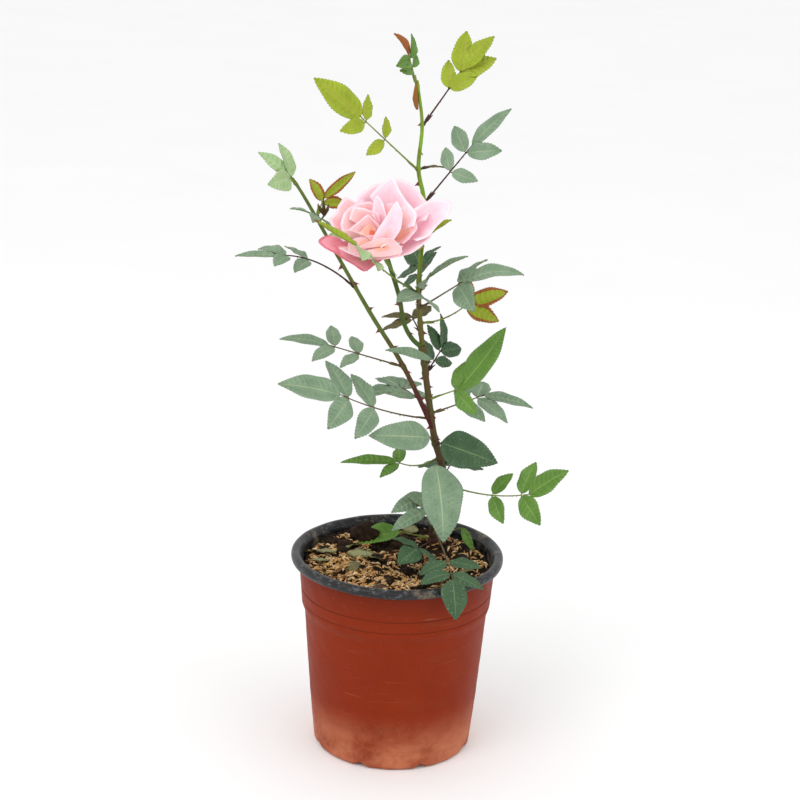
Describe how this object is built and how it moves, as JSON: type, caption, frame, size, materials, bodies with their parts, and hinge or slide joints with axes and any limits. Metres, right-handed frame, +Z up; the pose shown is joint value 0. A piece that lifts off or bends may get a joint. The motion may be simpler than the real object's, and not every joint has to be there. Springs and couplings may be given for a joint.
{
  "type": "potted rose bush",
  "caption": "Young rose bush with an open pink bloom on thorned canes and toothed compound leaves, in a round terracotta-coloured plastic pot with a rolled black rim and husk-strewn soil.",
  "frame": {"origin": "middle of the pot's flat underside", "axes": "+Z up along the pot's axis, -Y towards the side where the bloom faces, +X to the right seen from there"},
  "size_m": [0.3087, 0.2368, 0.6787],
  "materials": {
    "pot": "dusty moulded plastic, scuffed and paler towards the foot",
    "rim": "worn black moulded plastic with grey scuffs",
    "soil": "crumbly dark soil strewn with golden rice husks",
    "cane": "smooth young bark, brown low down and green higher up",
    "leaf": "dusty grey-green leaves, yellow-green and coppery on the young shoots",
    "petal": "soft pale pink petals, coral in the folds"
  },
  "bodies": {
    "root": {"bloom": "petal", "bloom_stalk": "cane", "leaf_back_low": "leaf", "leaf_back_mid": "leaf", "leaf_behind_bloom": "leaf", "leaf_far_left": "leaf", "leaf_front_large": "leaf", "leaf_front_low": "leaf", "leaf_front_pale": "leaf", "leaf_front_soil": "leaf", "leaf_left_back": "leaf", "leaf_left_brown": "leaf", "leaf_left_fourth": "leaf", "leaf_left_high": "leaf", "leaf_left_large": "leaf", "leaf_left_lower": "leaf", "leaf_left_third": "leaf", "leaf_left_tip": "leaf", "leaf_low_left": "leaf", "leaf_low_left_front": "leaf", "leaf_mid_front": "leaf", "leaf_over_bloom": "leaf", "leaf_right_arched": "leaf", "leaf_right_bright": "leaf", "leaf_right_drooping": "leaf", "leaf_right_inner": "leaf", "leaf_right_large": "leaf", "leaf_right_long": "leaf", "leaf_right_low": "leaf", "leaf_right_small": "leaf", "leaf_right_young": "leaf", "leaf_soil_left": "leaf", "leaf_top_right": "leaf", "leaf_top_shoot": "leaf", "leaf_upper_back": "leaf", "leaf_upper_left": "leaf", "leaf_upper_right": "leaf", "left_cane": "cane", "main_stem": "cane", "pot_rim": "rim", "pot_shell": "pot", "soil": "soil", "upper_cane": "cane", "young_shoot": "leaf"}
  },
  "joints": []
}
